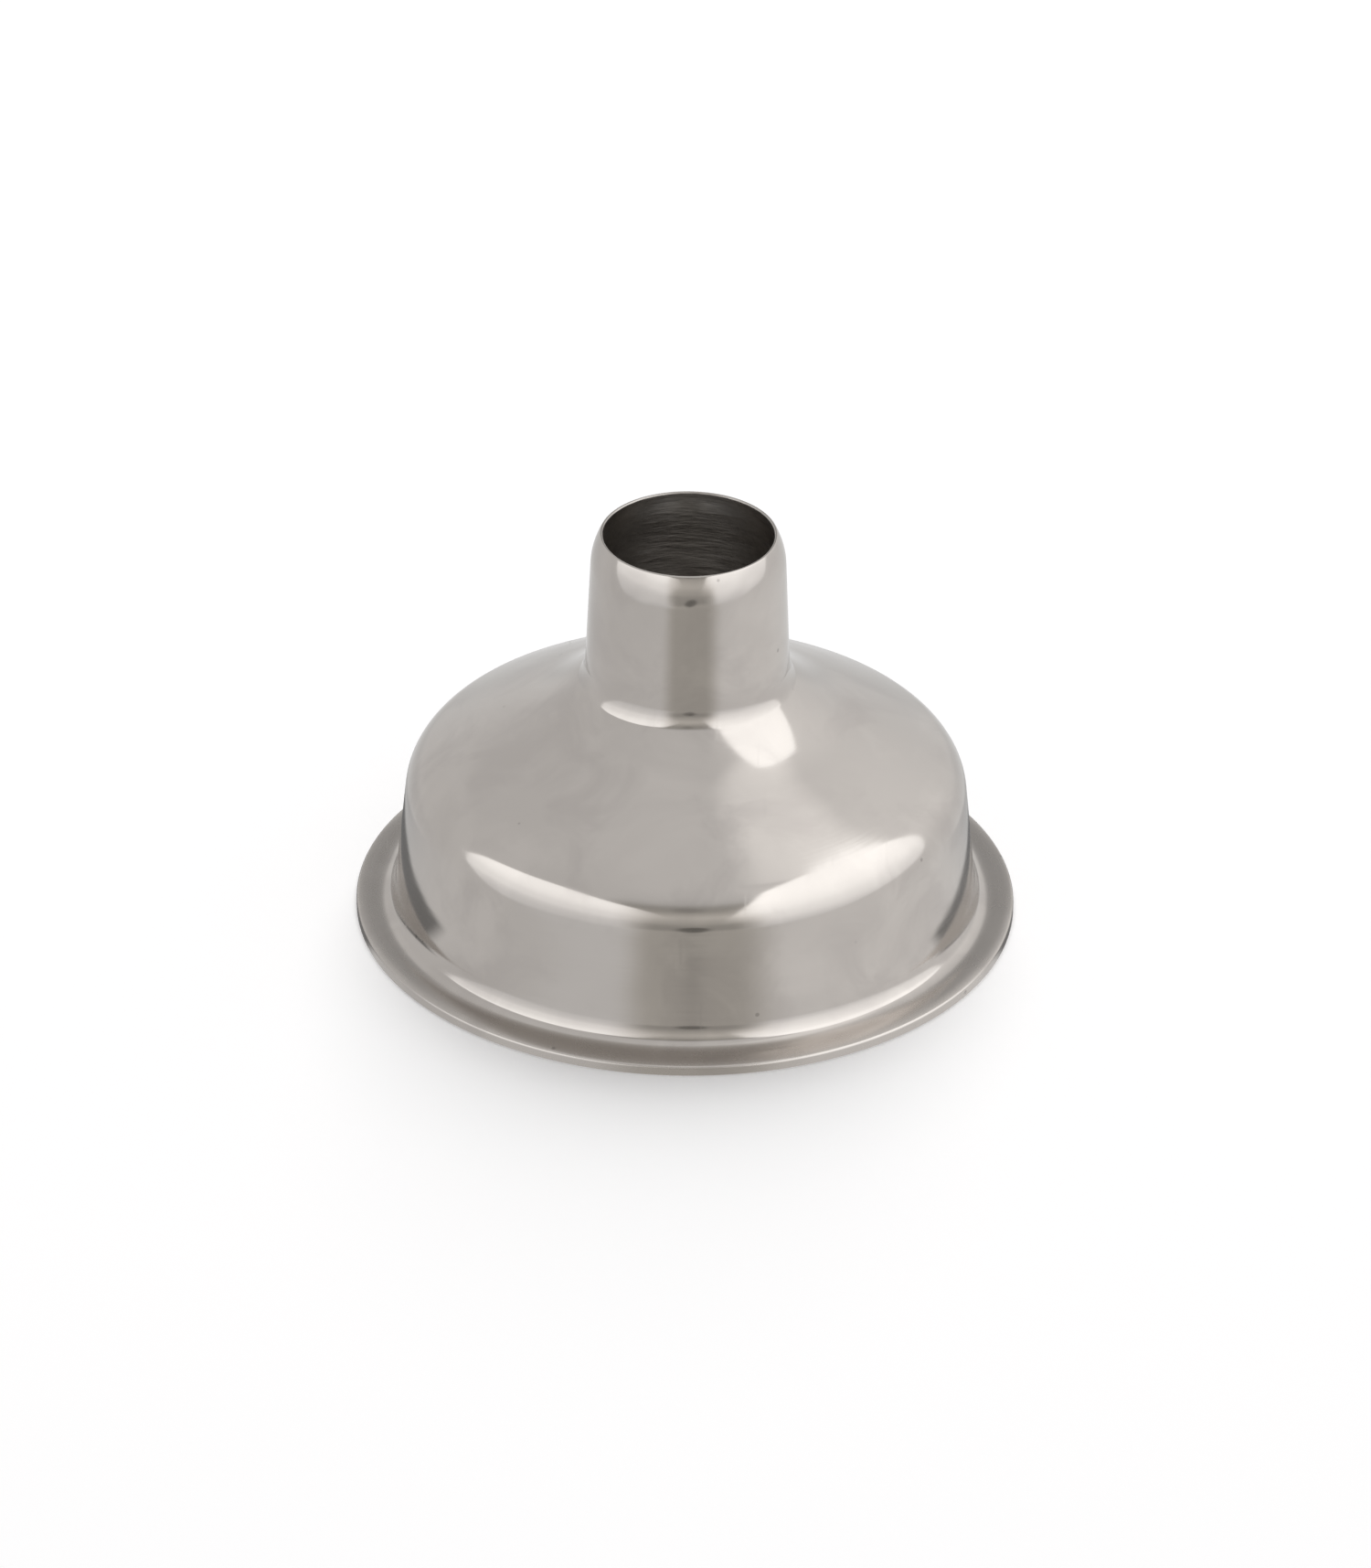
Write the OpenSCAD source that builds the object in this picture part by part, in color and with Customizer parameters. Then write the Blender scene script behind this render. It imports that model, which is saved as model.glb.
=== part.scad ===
// Small stainless steel funnel for filling narrow-necked bottles and flasks.
// It stands upside down on its rim: the rim lies in the plane z = 0, the
// axis of the funnel is the Z axis, and the spout points up.
// It is two drawn sheet parts: the bowl, and the spout that slips over its neck.

/* [Sheet] */
// Thickness of the steel sheet of both parts
sheet_t = 0.4; // [0.3:0.05:0.5]

/* [Rim] */
// Outer diameter of the rim
rim_d = 37; // [30:0.5:60]
// Width of the flange, from the wall's line to the rim's edge
flange_w = 2.05; // [1.9:0.05:4]
// Outer radius of the roll that turns the rim's edge down
roll_r = 0.7; // [0.6:0.05:0.9]
// Fall of the flange towards its edge, in degrees
flange_fall = 11; // [0:1:18]

/* [Bowl] */
// Lean of the wall from the vertical, in degrees
wall_lean = 5.8; // [1:0.1:8]
// Radius of the hollow where the wall meets the flange
foot_r = 0.8; // [0.5:0.1:1.2]
// Height at which the wall turns into the shoulder
shoulder_z = 7.4; // [5:0.05:14]
// Radius of the shoulder
shoulder_r = 2.8; // [1.5:0.1:3.5]
// Slope of the dome at the shoulder, in degrees
dome_slope = 31.5; // [25:0.5:38]
// Radius of the dome's long convex curve
dome_r = 54; // [40:1:90]
// Radius of the wide hollow that flares the dome up towards the spout
flare_r = 7; // [4:0.5:10]
// Slope at which the flare gives way to the tight hollow, in degrees
flare_slope = 46; // [40:1:60]
// Radius of the tight hollow at the root of the spout
root_r = 1.6; // [1:0.1:2.5]

/* [Spout] */
// Outer diameter of the spout's straight part
spout_d = 11.25; // [8:0.05:14]
// Length of the spout from its seat to its tip
spout_len = 8.05; // [7:0.05:16]
// Length of the spout's straight part
straight_len = 3; // [2:0.25:5]
// Radius lost over the tapered part
taper_drop = 0.22; // [0.1:0.01:0.4]
// Length of the rounded nose
nose_len = 1.85; // [1:0.05:2.5]
// Radius of the nose's curve
nose_r = 4.2; // [3.5:0.1:8]

/* [Joint] */
// Height of the collar that the bowl keeps below the seat
collar_h = 0.15; // [0.1:0.05:0.3]
// Length of the neck that stands inside the spout
lap_len = 2; // [1.5:0.25:4]
// Clearance on the radius between the neck and the spout
lap_clear = 0.02; // [0.01:0.01:0.05]

/* [Hidden] */
$fn = 96;
// Straight steps in each curve of a profile
steps = 10;

// The profiles are drawn as points [radius, height]. Each curve is given by
// the directions of the sheet's outward normal at its two ends, in degrees
// above the horizontal.
function dir(a) = [cos(a), sin(a)];

// A curve of radius r about c. A negative radius makes a hollow.
function arc(c, r, a0, a1) = [for (i = [0:steps]) c + r * dir(a0 + (a1 - a0) * i / steps)];

// Where two lines cross. Each is given by its normal's direction and its distance.
function crossing(a1, d1, a2, d2) =
    [d1 * sin(a2) - d2 * sin(a1), d2 * cos(a1) - d1 * cos(a2)] / sin(a2 - a1);

function reversed(pts) = [for (i = [len(pts) - 1:-1:0]) pts[i]];

// Two curves that run into each other share a point, which is kept once
function distinct(pts) =
    [for (i = [0:len(pts) - 1]) if (norm(pts[i] - pts[(i + 1) % len(pts)]) > 0.001) pts[i]];

rim_r = rim_d / 2;
wall_r = rim_r - flange_w;
spout_r = spout_d / 2;

// Centres of the bowl's curves, from the rim to the root of the spout
flange_a = 90 - flange_fall;
dome_a = 90 - dome_slope;
roll_c = [rim_r - roll_r, 0];
wall_line = wall_r * cos(wall_lean);
flange_line = roll_c * dir(flange_a) + roll_r;
foot_c = crossing(wall_lean, wall_line + foot_r, flange_a, flange_line + foot_r);
wall_top = [wall_r - shoulder_z * tan(wall_lean), shoulder_z];
shoulder_c = wall_top - shoulder_r * dir(wall_lean);
dome_c = shoulder_c + (shoulder_r - dome_r) * dir(dome_a);
root_a = 90 - flare_slope;
flare_dx = spout_r + root_r + (flare_r - root_r) * cos(root_a) - dome_c.x;
flare_a = acos(flare_dx / (dome_r + flare_r));
flare_c = dome_c + (dome_r + flare_r) * dir(flare_a);
root_c = flare_c - (flare_r - root_r) * dir(root_a);

// The neck: a level seat round it carries the spout
seat_z = root_c.y + collar_h;
web_z = seat_z - sheet_t;
web_a = asin((root_c.y - web_z) / (root_r + sheet_t));
neck_r = spout_r - sheet_t - lap_clear;
neck_bore_r = neck_r - sheet_t;
neck_top = seat_z + lap_len;

// The spout: its lip is a full round about lip_c, which closes the sheet at the tip
nose_z = seat_z + spout_len - nose_len;
nose_c = [spout_r - taper_drop - nose_r, nose_z];
lip_r = sheet_t / 2;
lip_a = asin((nose_len - lip_r) / (nose_r - lip_r));
lip_c = nose_c + (nose_r - lip_r) * dir(lip_a);

// The bowl's sheet at a depth t under its outer face, from the rim to the flare
function bowl_skin(t) = concat(
    arc(roll_c, roll_r - t, 0, flange_a),
    arc(foot_c, -foot_r - t, flange_a, wall_lean),
    arc(shoulder_c, shoulder_r - t, wall_lean, dome_a),
    arc(dome_c, dome_r - t, dome_a, flare_a),
    arc(flare_c, -flare_r - t, flare_a, root_a)
);

// The spout's sheet at a depth t under its outer face, from the seat to the lip
function spout_skin(t) = concat(
    [[spout_r - t, seat_z], [spout_r - t, seat_z + straight_len]],
    arc(nose_c, nose_r - t, 0, lip_a)
);

module bowl() {
    neck = [
        [spout_r, seat_z],
        [neck_r, seat_z],
        [neck_r, neck_top],
        [neck_bore_r, neck_top],
        [neck_bore_r, web_z]
    ];
    outside = concat(bowl_skin(0), arc(root_c, -root_r, root_a, 0), neck);
    inside = concat(bowl_skin(sheet_t), arc(root_c, -root_r - sheet_t, root_a, web_a));
    color("silver")
        rotate_extrude()
            polygon(distinct(concat(outside, reversed(inside))));
}

module spout() {
    lip = arc(lip_c, lip_r, lip_a, lip_a + 180);
    color("gainsboro")
        rotate_extrude()
            polygon(distinct(concat(spout_skin(0), lip, reversed(spout_skin(sheet_t)))));
}

bowl();
spout();
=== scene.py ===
"""Looks of a small stainless steel bottle funnel that stands upside down on its rim.

The funnel is two drawn sheet parts, a bowl and a spout. Both are turned
profiles: a section of the sheet is drawn with arcs and straight runs, and is
then spun about the funnel's axis. Sizes in the classes are in millimetres, and
the finished meshes are in metres.
"""

import logging
import math
from dataclasses import dataclass, field
from enum import Enum

import bmesh
import bpy
from mathutils import Matrix, Vector


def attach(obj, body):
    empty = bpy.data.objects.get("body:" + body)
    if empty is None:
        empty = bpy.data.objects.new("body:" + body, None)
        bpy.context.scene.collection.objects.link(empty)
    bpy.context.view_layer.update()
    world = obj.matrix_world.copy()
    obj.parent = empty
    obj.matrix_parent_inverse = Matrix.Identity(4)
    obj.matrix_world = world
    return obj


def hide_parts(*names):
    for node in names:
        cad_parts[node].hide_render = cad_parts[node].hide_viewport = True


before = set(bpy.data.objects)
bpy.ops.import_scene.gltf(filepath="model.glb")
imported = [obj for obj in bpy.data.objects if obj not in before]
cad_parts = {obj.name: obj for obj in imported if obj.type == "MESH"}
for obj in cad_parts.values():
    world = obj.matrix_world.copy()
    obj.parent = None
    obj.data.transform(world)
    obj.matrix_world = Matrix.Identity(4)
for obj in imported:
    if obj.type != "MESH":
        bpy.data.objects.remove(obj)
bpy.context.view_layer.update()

MM = 0.001
LOG = logging.getLogger("funnel")
SHARP_ANGLE = math.radians(32.0)
# A face is inside if its outward share, with part of its upward share, is below this
UPWARD_SHARE = 0.55
INSIDE_BELOW = -0.05
# Half width of a dark patch's edge, as a difference of cosines
BLOB_BLUR = 0.002
Point = tuple[float, float]
Colour = tuple[float, float, float, float]
WHITE: Colour = (1.0, 1.0, 1.0, 1.0)
Socket = bpy.types.NodeSocket
# What an input takes: a number, a vector, a colour or another node's socket
Term = float | tuple[float, ...] | Socket


class Side(Enum):
    """The two sides of the sheet, numbered as the pieces' materials."""

    OUTSIDE = 0
    INSIDE = 1


# ---------------------------------------------------------------------------
# Node helpers
# ---------------------------------------------------------------------------
class Wiring:
    """Adds nodes to a tree in a short form."""

    def __init__(self, tree: bpy.types.NodeTree) -> None:
        """Starts with an empty tree.

        Args:
            tree: the node tree to fill.
        """
        self.tree = tree
        self.nodes = tree.nodes
        self.nodes.clear()

    def add(self, kind: str, inputs: dict | None = None, **settings: object) -> bpy.types.Node:
        """Adds one node.

        Args:
            kind: the node's type name.
            inputs: values or sockets for its inputs, by name or index.
            **settings: properties of the node.

        Returns:
            The new node.
        """
        node = self.nodes.new(kind)
        for name, value in settings.items():
            setattr(node, name, value)
        for key, value in (inputs or {}).items():
            socket = node.inputs[key]
            if isinstance(value, Socket):
                self.tree.links.new(value, socket)
            else:
                socket.default_value = value
        return node

    def group(self, tree: bpy.types.NodeTree, **values: float) -> bpy.types.Node:
        """Places a node group.

        Args:
            tree: the group.
            **values: its inputs.

        Returns:
            The group's node.
        """
        node = self.nodes.new("ShaderNodeGroup")
        node.node_tree = tree
        for name, value in values.items():
            node.inputs[name].default_value = value
        return node

    def math(self, operation: str, *terms: Term) -> Socket:
        """Adds a Math node and returns its output."""
        return self.add("ShaderNodeMath", dict(enumerate(terms)), operation=operation).outputs[0]

    def vector(self, operation: str, *terms: Term) -> Socket:
        """Adds a Vector Math node and returns the output that the operation uses."""
        node = self.add("ShaderNodeVectorMath", dict(enumerate(terms)), operation=operation)
        return node.outputs["Value" if operation in ("DOT_PRODUCT", "LENGTH") else "Vector"]

    def ramp(self, value: Socket, low: float, high: float, start: float = 0.0, end: float = 1.0) -> Socket:
        """Runs a value smoothly from start to end.

        Args:
            value: the value that is read.
            low: where the change begins.
            high: where the change ends.
            start: the result at low.
            end: the result at high.

        Returns:
            The smoothed result.
        """
        node = self.add(
            "ShaderNodeMapRange",
            {"Value": value, "From Min": low, "From Max": high, "To Min": start, "To Max": end},
            interpolation_type="SMOOTHSTEP",
        )
        return node.outputs["Result"]

    def curve(self, value: Socket, points: tuple[Point, ...]) -> Socket:
        """Runs a value along a curve.

        Args:
            value: the value that is read, from -0.5 to 1.
            points: value and result of each point, in rising order.

        Returns:
            The curve's result.
        """
        low, span, top = -0.5, 1.5, 2.5
        share = self.math("DIVIDE", self.math("SUBTRACT", value, low), span)
        node = self.add("ShaderNodeFloatCurve", {"Value": share})
        line = node.mapping.curves[0]
        places = [((x - low) / span, y / top) for x, y in points]
        line.points[0].location, line.points[1].location = places[0], places[-1]
        for place in places[1:-1]:
            line.points.new(*place)
        node.mapping.update()
        return self.math("MULTIPLY", node.outputs[0], top)

    def mix(self, factor: Term, first: Term, second: Term) -> Socket:
        """Mixes two numbers.

        Args:
            factor: the share of the second.
            first: the value at 0.
            second: the value at 1.

        Returns:
            The mixed value.
        """
        node = self.add("ShaderNodeMix", {0: factor, 2: first, 3: second}, data_type="FLOAT")
        return node.outputs[0]

    def blend(self, factor: Term, first: Term, second: Term) -> Socket:
        """Mixes two colours.

        Args:
            factor: the share of the second.
            first: the colour at 0.
            second: the colour at 1.

        Returns:
            The mixed colour.
        """
        node = self.add("ShaderNodeMix", {0: factor, 6: first, 7: second}, data_type="RGBA")
        return node.outputs[2]


def new_group(name: str, inputs: dict[str, float], outputs: list[str]) -> tuple:
    """Starts a shader node group with number sockets.

    Args:
        name: the group's name.
        inputs: each input and its usual value.
        outputs: the names of the outputs.

    Returns:
        The group, its wiring, its input node and its output node.
    """
    group = bpy.data.node_groups.new(name, "ShaderNodeTree")
    wiring = Wiring(group)
    for title, value in inputs.items():
        socket = group.interface.new_socket(title, in_out="INPUT", socket_type="NodeSocketFloat")
        socket.default_value = value
    for title in outputs:
        group.interface.new_socket(title, in_out="OUTPUT", socket_type="NodeSocketFloat")
    return group, wiring, wiring.add("NodeGroupInput"), wiring.add("NodeGroupOutput")


# ---------------------------------------------------------------------------
# Shared surface effects
# ---------------------------------------------------------------------------
@dataclass(frozen=True)
class TurningLines:
    """Fine lines that run round the axis, left by the polishing wheel.

    Attributes:
        name: the group's name.
        faint: value of the noise at which a line begins to show.
        full: value at which it shows fully.
    """

    name: str = "turning_lines"
    faint: float = 0.35
    full: float = 0.7

    def build(self) -> bpy.types.NodeTree:
        """Builds the group.

        Returns:
            A group with inputs Spacing (lines per mm) and Length (breaks per
            turn), and outputs Height and Mask, both from 0 to 1.
        """
        group, w, ins, outs = new_group(self.name, {"Spacing": 6.0, "Length": 2.0}, ["Height", "Mask"])
        where = w.add("ShaderNodeTexCoord").outputs["Object"]
        parts = w.add("ShaderNodeSeparateXYZ", {0: where}).outputs
        radius = w.vector("LENGTH", w.vector("MULTIPLY", where, (1.0, 1.0, 0.0)))
        off_axis = w.math("MAXIMUM", radius, 0.01 * MM)
        per_metre = w.math("DIVIDE", ins.outputs["Spacing"], MM)
        # Height less radius grows steadily along the wall, the dome and the flange
        down_sheet = w.math("MULTIPLY", w.math("SUBTRACT", parts["Z"], radius), per_metre)
        around = w.add(
            "ShaderNodeCombineXYZ",
            {
                0: w.math("MULTIPLY", w.math("DIVIDE", parts["X"], off_axis), ins.outputs["Length"]),
                1: w.math("MULTIPLY", w.math("DIVIDE", parts["Y"], off_axis), ins.outputs["Length"]),
                2: down_sheet,
            },
        ).outputs[0]
        grain = {"Vector": around, "Scale": 1.0, "Detail": 3.0, "Roughness": 0.6}
        fine = w.add("ShaderNodeTexNoise", grain)
        w.tree.links.new(fine.outputs[0], outs.inputs["Height"])
        w.tree.links.new(w.ramp(fine.outputs[0], self.faint, self.full), outs.inputs["Mask"])
        return group


@dataclass(frozen=True)
class HandlingMarks:
    """Cloudy smudges and rare small spots left by hands and cloths.

    Attributes:
        name: the group's name.
        smudge_edge: values of the cloud between which a smudge fades in.
        spot_rate: spots to each smudge size.
        spot_edge: distances from its middle, in spacings, over which a spot fades out.
    """

    name: str = "handling_marks"
    smudge_edge: Point = (0.42, 0.68)
    spot_rate: float = 1.6
    spot_edge: Point = (0.03, 0.055)

    def build(self) -> bpy.types.NodeTree:
        """Builds the group.

        Returns:
            A group with input Size (mm) and outputs Smudge and Spot, both
            masks from 0 to 1.
        """
        group, w, ins, outs = new_group(self.name, {"Size": 5.0}, ["Smudge", "Spot"])
        where = w.add("ShaderNodeTexCoord").outputs["Object"]
        scale = w.math("DIVIDE", 1.0 / MM, ins.outputs["Size"])
        cloud = w.add(
            "ShaderNodeTexNoise",
            {"Vector": where, "Scale": scale, "Detail": 4.0, "Roughness": 0.55, "Distortion": 0.6},
        )
        spot_scale = w.math("MULTIPLY", scale, self.spot_rate)
        spot = w.add("ShaderNodeTexVoronoi", {"Vector": where, "Scale": spot_scale})
        w.tree.links.new(w.ramp(cloud.outputs[0], *self.smudge_edge), outs.inputs["Smudge"])
        w.tree.links.new(w.ramp(spot.outputs["Distance"], *self.spot_edge, 1.0, 0.0), outs.inputs["Spot"])
        return group


@dataclass(frozen=True)
class FineScratches:
    """Short hairline scratches in mixed directions.

    Attributes:
        name: the group's name.
        runs: for each direction, the turn of the pattern and how fine it is across the scratches.
        coarse: how fine it is along them.
        edge: values of the noise between which a scratch fades in.
    """

    name: str = "fine_scratches"
    runs: tuple[tuple[tuple[float, float, float], float], ...] = (
        ((0.3, 0.5, 0.2), 7.0),
        ((1.3, 0.2, 1.0), 9.0),
    )
    coarse: float = 0.4
    edge: Point = (0.69, 0.75)

    def build(self) -> bpy.types.NodeTree:
        """Builds the group.

        Returns:
            A group with input Density (per mm) and output Scratch, a mask
            from 0 to 1.
        """
        group, w, ins, outs = new_group(self.name, {"Density": 0.5}, ["Scratch"])
        where = w.add("ShaderNodeTexCoord").outputs["Object"]
        total = None
        for turn, fine in self.runs:
            scale = (fine / MM, self.coarse / MM, self.coarse / MM)
            mapping = {"Vector": where, "Rotation": turn, "Scale": scale}
            turned = w.add("ShaderNodeMapping", mapping).outputs[0]
            line = w.add(
                "ShaderNodeTexNoise",
                {"Vector": turned, "Scale": ins.outputs["Density"], "Detail": 2.0, "Distortion": 0.3},
            ).outputs[0]
            mask = w.ramp(line, *self.edge)
            total = mask if total is None else w.math("MAXIMUM", total, mask)
        w.tree.links.new(total, outs.inputs["Scratch"])
        return group


@dataclass(frozen=True)
class Waviness:
    """Slow unevenness of drawn sheet, stronger where the spout is nosed in.

    Attributes:
        name: the group's name.
        slow_depth: depth of the slow waves, in mm.
        quick_depth: depth of the quick waves on the nose, in mm.
        quick_rate: quick waves per mm.
        nose: heights between which the quick waves fade in, in mm.
    """

    name: str = "waviness"
    slow_depth: float = 0.035
    quick_depth: float = 0.024
    quick_rate: float = 0.75
    nose: Point = (19.6, 21.4)

    def build(self) -> bpy.types.NodeTree:
        """Builds the group.

        Returns:
            A group with inputs Size (mm) and Nose (how much rougher the nose
            is), and output Height, in mm.
        """
        group, w, ins, outs = new_group(self.name, {"Size": 6.0, "Nose": 1.0}, ["Height"])
        where = w.add("ShaderNodeTexCoord").outputs["Object"]
        slow_rate = w.math("DIVIDE", 1.0 / MM, ins.outputs["Size"])
        slow = w.add("ShaderNodeTexNoise", {"Vector": where, "Scale": slow_rate, "Detail": 1.0}).outputs[0]
        quick_scale = self.quick_rate / MM
        waves = {"Vector": where, "Scale": quick_scale, "Detail": 1.0}
        quick = w.add("ShaderNodeTexNoise", waves).outputs[0]
        height = w.add("ShaderNodeSeparateXYZ", {0: where}).outputs["Z"]
        at_nose = w.math("MULTIPLY", w.ramp(height, *(z * MM for z in self.nose)), ins.outputs["Nose"])
        slow_height = w.math("MULTIPLY", slow, self.slow_depth)
        total = w.math("MULTIPLY_ADD", w.math("MULTIPLY", quick, self.quick_depth), at_nose, slow_height)
        w.tree.links.new(total, outs.inputs["Height"])
        return group


@dataclass
class Effects:
    """The shared groups, built once."""

    lines: bpy.types.NodeTree = field(default_factory=lambda: TurningLines().build())
    marks: bpy.types.NodeTree = field(default_factory=lambda: HandlingMarks().build())
    scratches: bpy.types.NodeTree = field(default_factory=lambda: FineScratches().build())
    waves: bpy.types.NodeTree = field(default_factory=lambda: Waviness().build())


# ---------------------------------------------------------------------------
# Finishes
# ---------------------------------------------------------------------------
def shaded(colour: Colour, gain: float) -> Colour:
    """Returns a colour made lighter or darker by a gain."""
    red, green, blue, alpha = colour
    return (red * gain, green * gain, blue * gain, alpha)


@dataclass(frozen=True)
class SteelFinish:
    """One finish of the stainless steel sheet.

    Attributes:
        name: the material's name.
        colour: the clean steel's colour; on the inside finish it is partly painted shade.
        dulled: the colour where it is smudged.
        roughness: the roughness of the clean steel.
        haze: roughness added by smudges.
        brush: roughness added by turning lines.
        line_spacing: turning lines per mm.
        line_depth: depth of the turning lines, in mm.
        smudge_size: size of the smudges, in mm.
        spots: how much the small spots darken.
        scratch: roughness added by scratches.
        rim_haze: roughness added on the flange and the rim.
        nose: how uneven the nose is.
        bloom: share of a lighter tone in broad patches.
        bloom_gain: how much lighter these patches are.
        bloom_spread: their size as a share of the smudges' size.
        spot_shade: how dark the small spots are against the dulled colour.
        line_length: breaks of the turning lines per turn.
        scratch_density: how dense the scratches are.
        wave_size: size of the slow waves, in mm.
        rim: radii between which the flange's haze fades in, in mm.
    """

    name: str
    colour: Colour
    dulled: Colour
    roughness: float
    haze: float
    brush: float
    line_spacing: float
    line_depth: float
    smudge_size: float
    spots: float
    scratch: float
    rim_haze: float
    nose: float
    bloom: float
    bloom_gain: float = 1.12
    bloom_spread: float = 1.7
    spot_shade: float = 0.45
    line_length: float = 1.6
    scratch_density: float = 0.5
    wave_size: float = 5.0
    rim: Point = (16.7, 17.2)

    def build(self, effects: Effects) -> bpy.types.Material:
        """Makes the material.

        Args:
            effects: the shared groups.

        Returns:
            The material.
        """
        material = bpy.data.materials.new(self.name)
        material.use_nodes = True
        w = Wiring(material.node_tree)
        # Colour: clean steel, lighter patches, smudges, then spots
        lines = w.group(effects.lines, Spacing=self.line_spacing, Length=self.line_length)
        marks = w.group(effects.marks, Size=self.smudge_size)
        scratches = w.group(effects.scratches, Density=self.scratch_density)
        smudge = marks.outputs["Smudge"]
        bloom = w.group(effects.marks, Size=self.smudge_size * self.bloom_spread)
        bright = w.math("MULTIPLY", bloom.outputs["Smudge"], self.bloom)
        colour = w.blend(bright, self.colour, shaded(self.colour, self.bloom_gain))
        colour = w.blend(smudge, colour, self.dulled)
        spotted = w.math("MULTIPLY", marks.outputs["Spot"], self.spots)
        colour = w.blend(spotted, colour, shaded(self.dulled, self.spot_shade))
        rough = w.math("MULTIPLY_ADD", smudge, self.haze, self.roughness)
        rough = w.math("MULTIPLY_ADD", lines.outputs["Mask"], self.brush, rough)
        rough = w.math("MULTIPLY_ADD", scratches.outputs["Scratch"], self.scratch, rough)
        where = w.add("ShaderNodeTexCoord").outputs["Object"]
        radius = w.vector("LENGTH", w.vector("MULTIPLY", where, (1.0, 1.0, 0.0)))
        at_rim = w.ramp(radius, *(r * MM for r in self.rim))
        rough = w.math("MULTIPLY_ADD", at_rim, self.rim_haze, rough)
        waves = w.group(effects.waves, Size=self.wave_size, Nose=self.nose)
        wavy = w.add("ShaderNodeBump", {"Height": waves.outputs["Height"], "Distance": MM, "Strength": 1.0})
        bump = w.add(
            "ShaderNodeBump",
            {
                "Height": lines.outputs["Height"],
                "Distance": self.line_depth * MM,
                "Strength": 1.0,
                "Normal": wavy.outputs[0],
            },
        )
        shader = w.add(
            "ShaderNodeBsdfPrincipled",
            {"Base Color": colour, "Roughness": rough, "Metallic": 1.0, "Normal": bump.outputs[0]},
        )
        w.add("ShaderNodeOutputMaterial", {"Surface": shader.outputs[0]})
        return material


POLISHED = SteelFinish(
    name="polished_steel",
    colour=(0.466, 0.436, 0.408, 1.0),
    dulled=(0.44, 0.41, 0.385, 1.0),
    roughness=0.09,
    haze=0.05,
    brush=0.03,
    line_spacing=5.0,
    line_depth=0.0006,
    smudge_size=4.5,
    spots=0.5,
    scratch=0.06,
    rim_haze=0.15,
    nose=1.0,
    bloom=0.6,
)
# The inside's colours are darker than the outside's: partly the duller drawn finish, partly painted shade
# for the dim inside of the spout and the bowl
DRAWN_INSIDE_PAINTED_SHADE = SteelFinish(
    name="drawn_inside_painted_shade",
    colour=(0.42, 0.395, 0.37, 1.0),
    dulled=(0.32, 0.298, 0.275, 1.0),
    roughness=0.3,
    haze=0.06,
    brush=0.08,
    line_spacing=1.7,
    line_depth=0.07,
    smudge_size=2.5,
    spots=0.6,
    scratch=0.0,
    rim_haze=0.0,
    nose=0.5,
    bloom=0.0,
)


# ---------------------------------------------------------------------------
# Section drawing
# ---------------------------------------------------------------------------
class SectionPen:
    """Draws a section of sheet in the XZ plane, one run after another, in mm."""

    def __init__(self, start: Point) -> None:
        """Sets the pen down.

        Args:
            start: the first point, as radius and height.
        """
        self.bm = bmesh.new()
        self.tip = self.bm.verts.new((start[0], 0.0, start[1]))

    def arc(self, centre: Point, start: float, end: float, steps: int) -> "SectionPen":
        """Draws an arc about a centre.

        Args:
            centre: the centre, as radius and height.
            start: direction of the pen from the centre, in degrees above the horizontal.
            end: direction in which the arc ends.
            steps: the number of straight steps.

        Returns:
            The pen.
        """
        spun = bmesh.ops.spin(
            self.bm,
            geom=[self.tip],
            cent=(centre[0], 0.0, centre[1]),
            axis=(0.0, -1.0, 0.0),
            angle=math.radians(end - start),
            steps=steps,
            use_merge=False,
            use_duplicate=False,
        )
        self.tip = next(e for e in spun["geom_last"] if isinstance(e, bmesh.types.BMVert))
        return self

    def line(self, end: Point, steps: int = 1) -> "SectionPen":
        """Draws a straight run.

        Args:
            end: the last point, as radius and height.
            steps: the number of equal parts.

        Returns:
            The pen.
        """
        step = (Vector((end[0], 0.0, end[1])) - self.tip.co) / steps
        for _ in range(steps):
            made = bmesh.ops.extrude_vert_indiv(self.bm, verts=[self.tip])["verts"][0]
            made.co = self.tip.co + step
            self.tip = made
        return self

    def turned(self, steps: int) -> bmesh.types.BMesh:
        """Spins the closed section about the axis.

        Args:
            steps: the number of steps round.

        Returns:
            The closed shell, in metres, with its faces outwards.
        """
        bm = self.bm
        bmesh.ops.remove_doubles(bm, verts=bm.verts[:], dist=1e-4)
        bmesh.ops.spin(
            bm,
            geom=bm.verts[:] + bm.edges[:],
            cent=(0.0, 0.0, 0.0),
            axis=(0.0, 0.0, 1.0),
            angle=2 * math.pi,
            steps=steps,
            use_merge=True,
            use_duplicate=False,
        )
        bmesh.ops.remove_doubles(bm, verts=bm.verts[:], dist=1e-4)
        bmesh.ops.recalc_face_normals(bm, faces=bm.faces[:])
        bmesh.ops.scale(bm, vec=(MM, MM, MM), verts=bm.verts[:])
        return bm


def along(angle: float) -> Vector:
    """Returns the direction [radius, height] at an angle above the horizontal, in degrees."""
    return Vector((math.cos(math.radians(angle)), math.sin(math.radians(angle))))


def crossing(first: float, first_at: float, second: float, second_at: float) -> Vector:
    """Finds where two lines cross.

    Args:
        first: direction of the first line's normal, in degrees.
        first_at: its distance from the origin.
        second: direction of the second line's normal.
        second_at: its distance from the origin.

    Returns:
        The point.
    """
    a, b = along(first), along(second)
    area = a.x * b.y - a.y * b.x
    return Vector((first_at * b.y - second_at * a.y, second_at * a.x - first_at * b.x)) / area


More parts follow.
